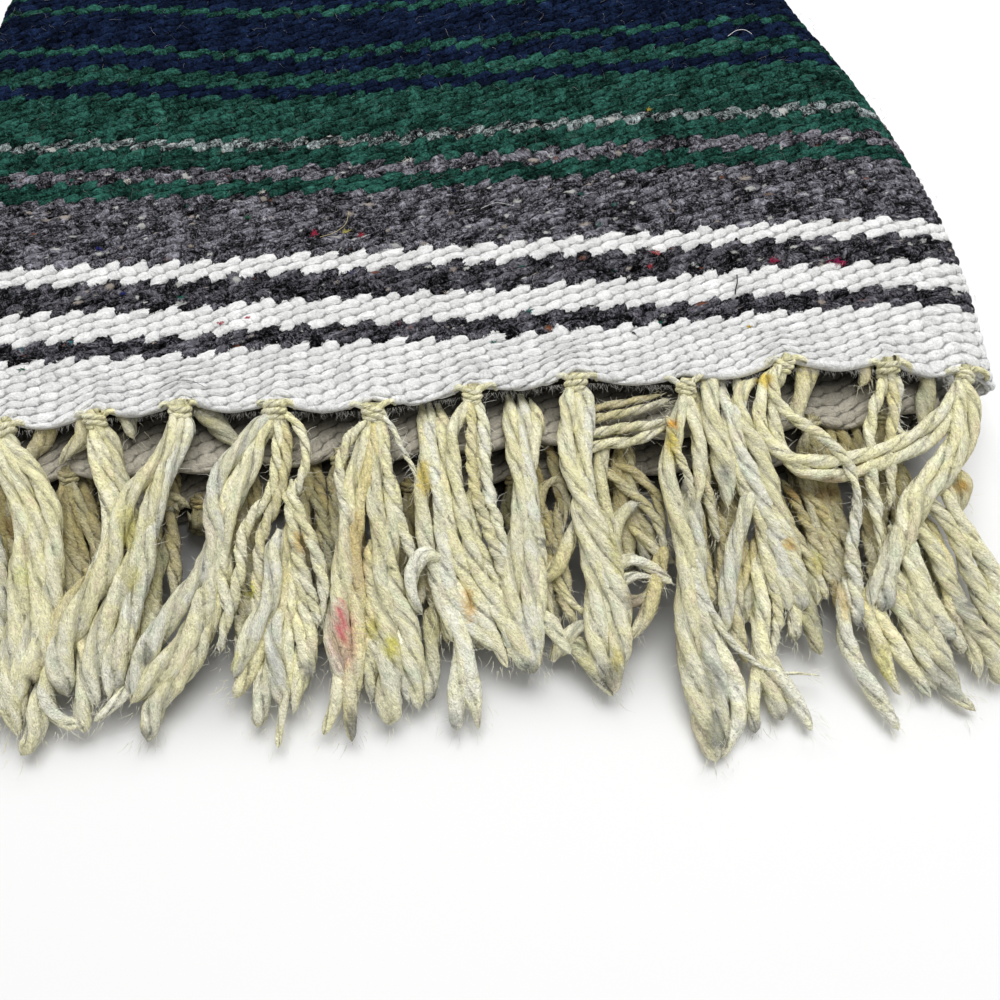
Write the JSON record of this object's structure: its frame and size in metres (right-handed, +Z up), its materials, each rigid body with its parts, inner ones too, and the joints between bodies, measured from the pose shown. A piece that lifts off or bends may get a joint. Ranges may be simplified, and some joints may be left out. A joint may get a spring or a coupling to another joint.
{
  "type": "folded mexican serape",
  "caption": "Striped woollen serape with knotted fringe, folded flat into a long stack of cloth with the fringed ends lying together at the front.",
  "frame": {"origin": "under the middle of the folded piece's box, on the surface it lies on", "axes": "+X along the fringed edge, +Y from the fringe to the back fold, +Z up"},
  "size_m": [0.284, 0.9858, 0.0275],
  "materials": {
    "striped_wool": "matt, hairy weft-faced wool in green, navy, grey and white stripes",
    "pale_wool": "matt, hairy weft-faced wool, undyed white end stripe",
    "fringe_yarn": "matt cream two-ply yarn with a slight halo of fibres"
  },
  "bodies": {
    "root": {"top_layer": "striped_wool", "folded_layers": "striped_wool", "second_layer": "pale_wool", "third_layer": "pale_wool", "bottom_layer": "pale_wool", "fringe_top": "fringe_yarn", "fringe_second": "fringe_yarn", "fringe_third": "fringe_yarn", "fringe_bottom": "fringe_yarn"}
  },
  "joints": []
}
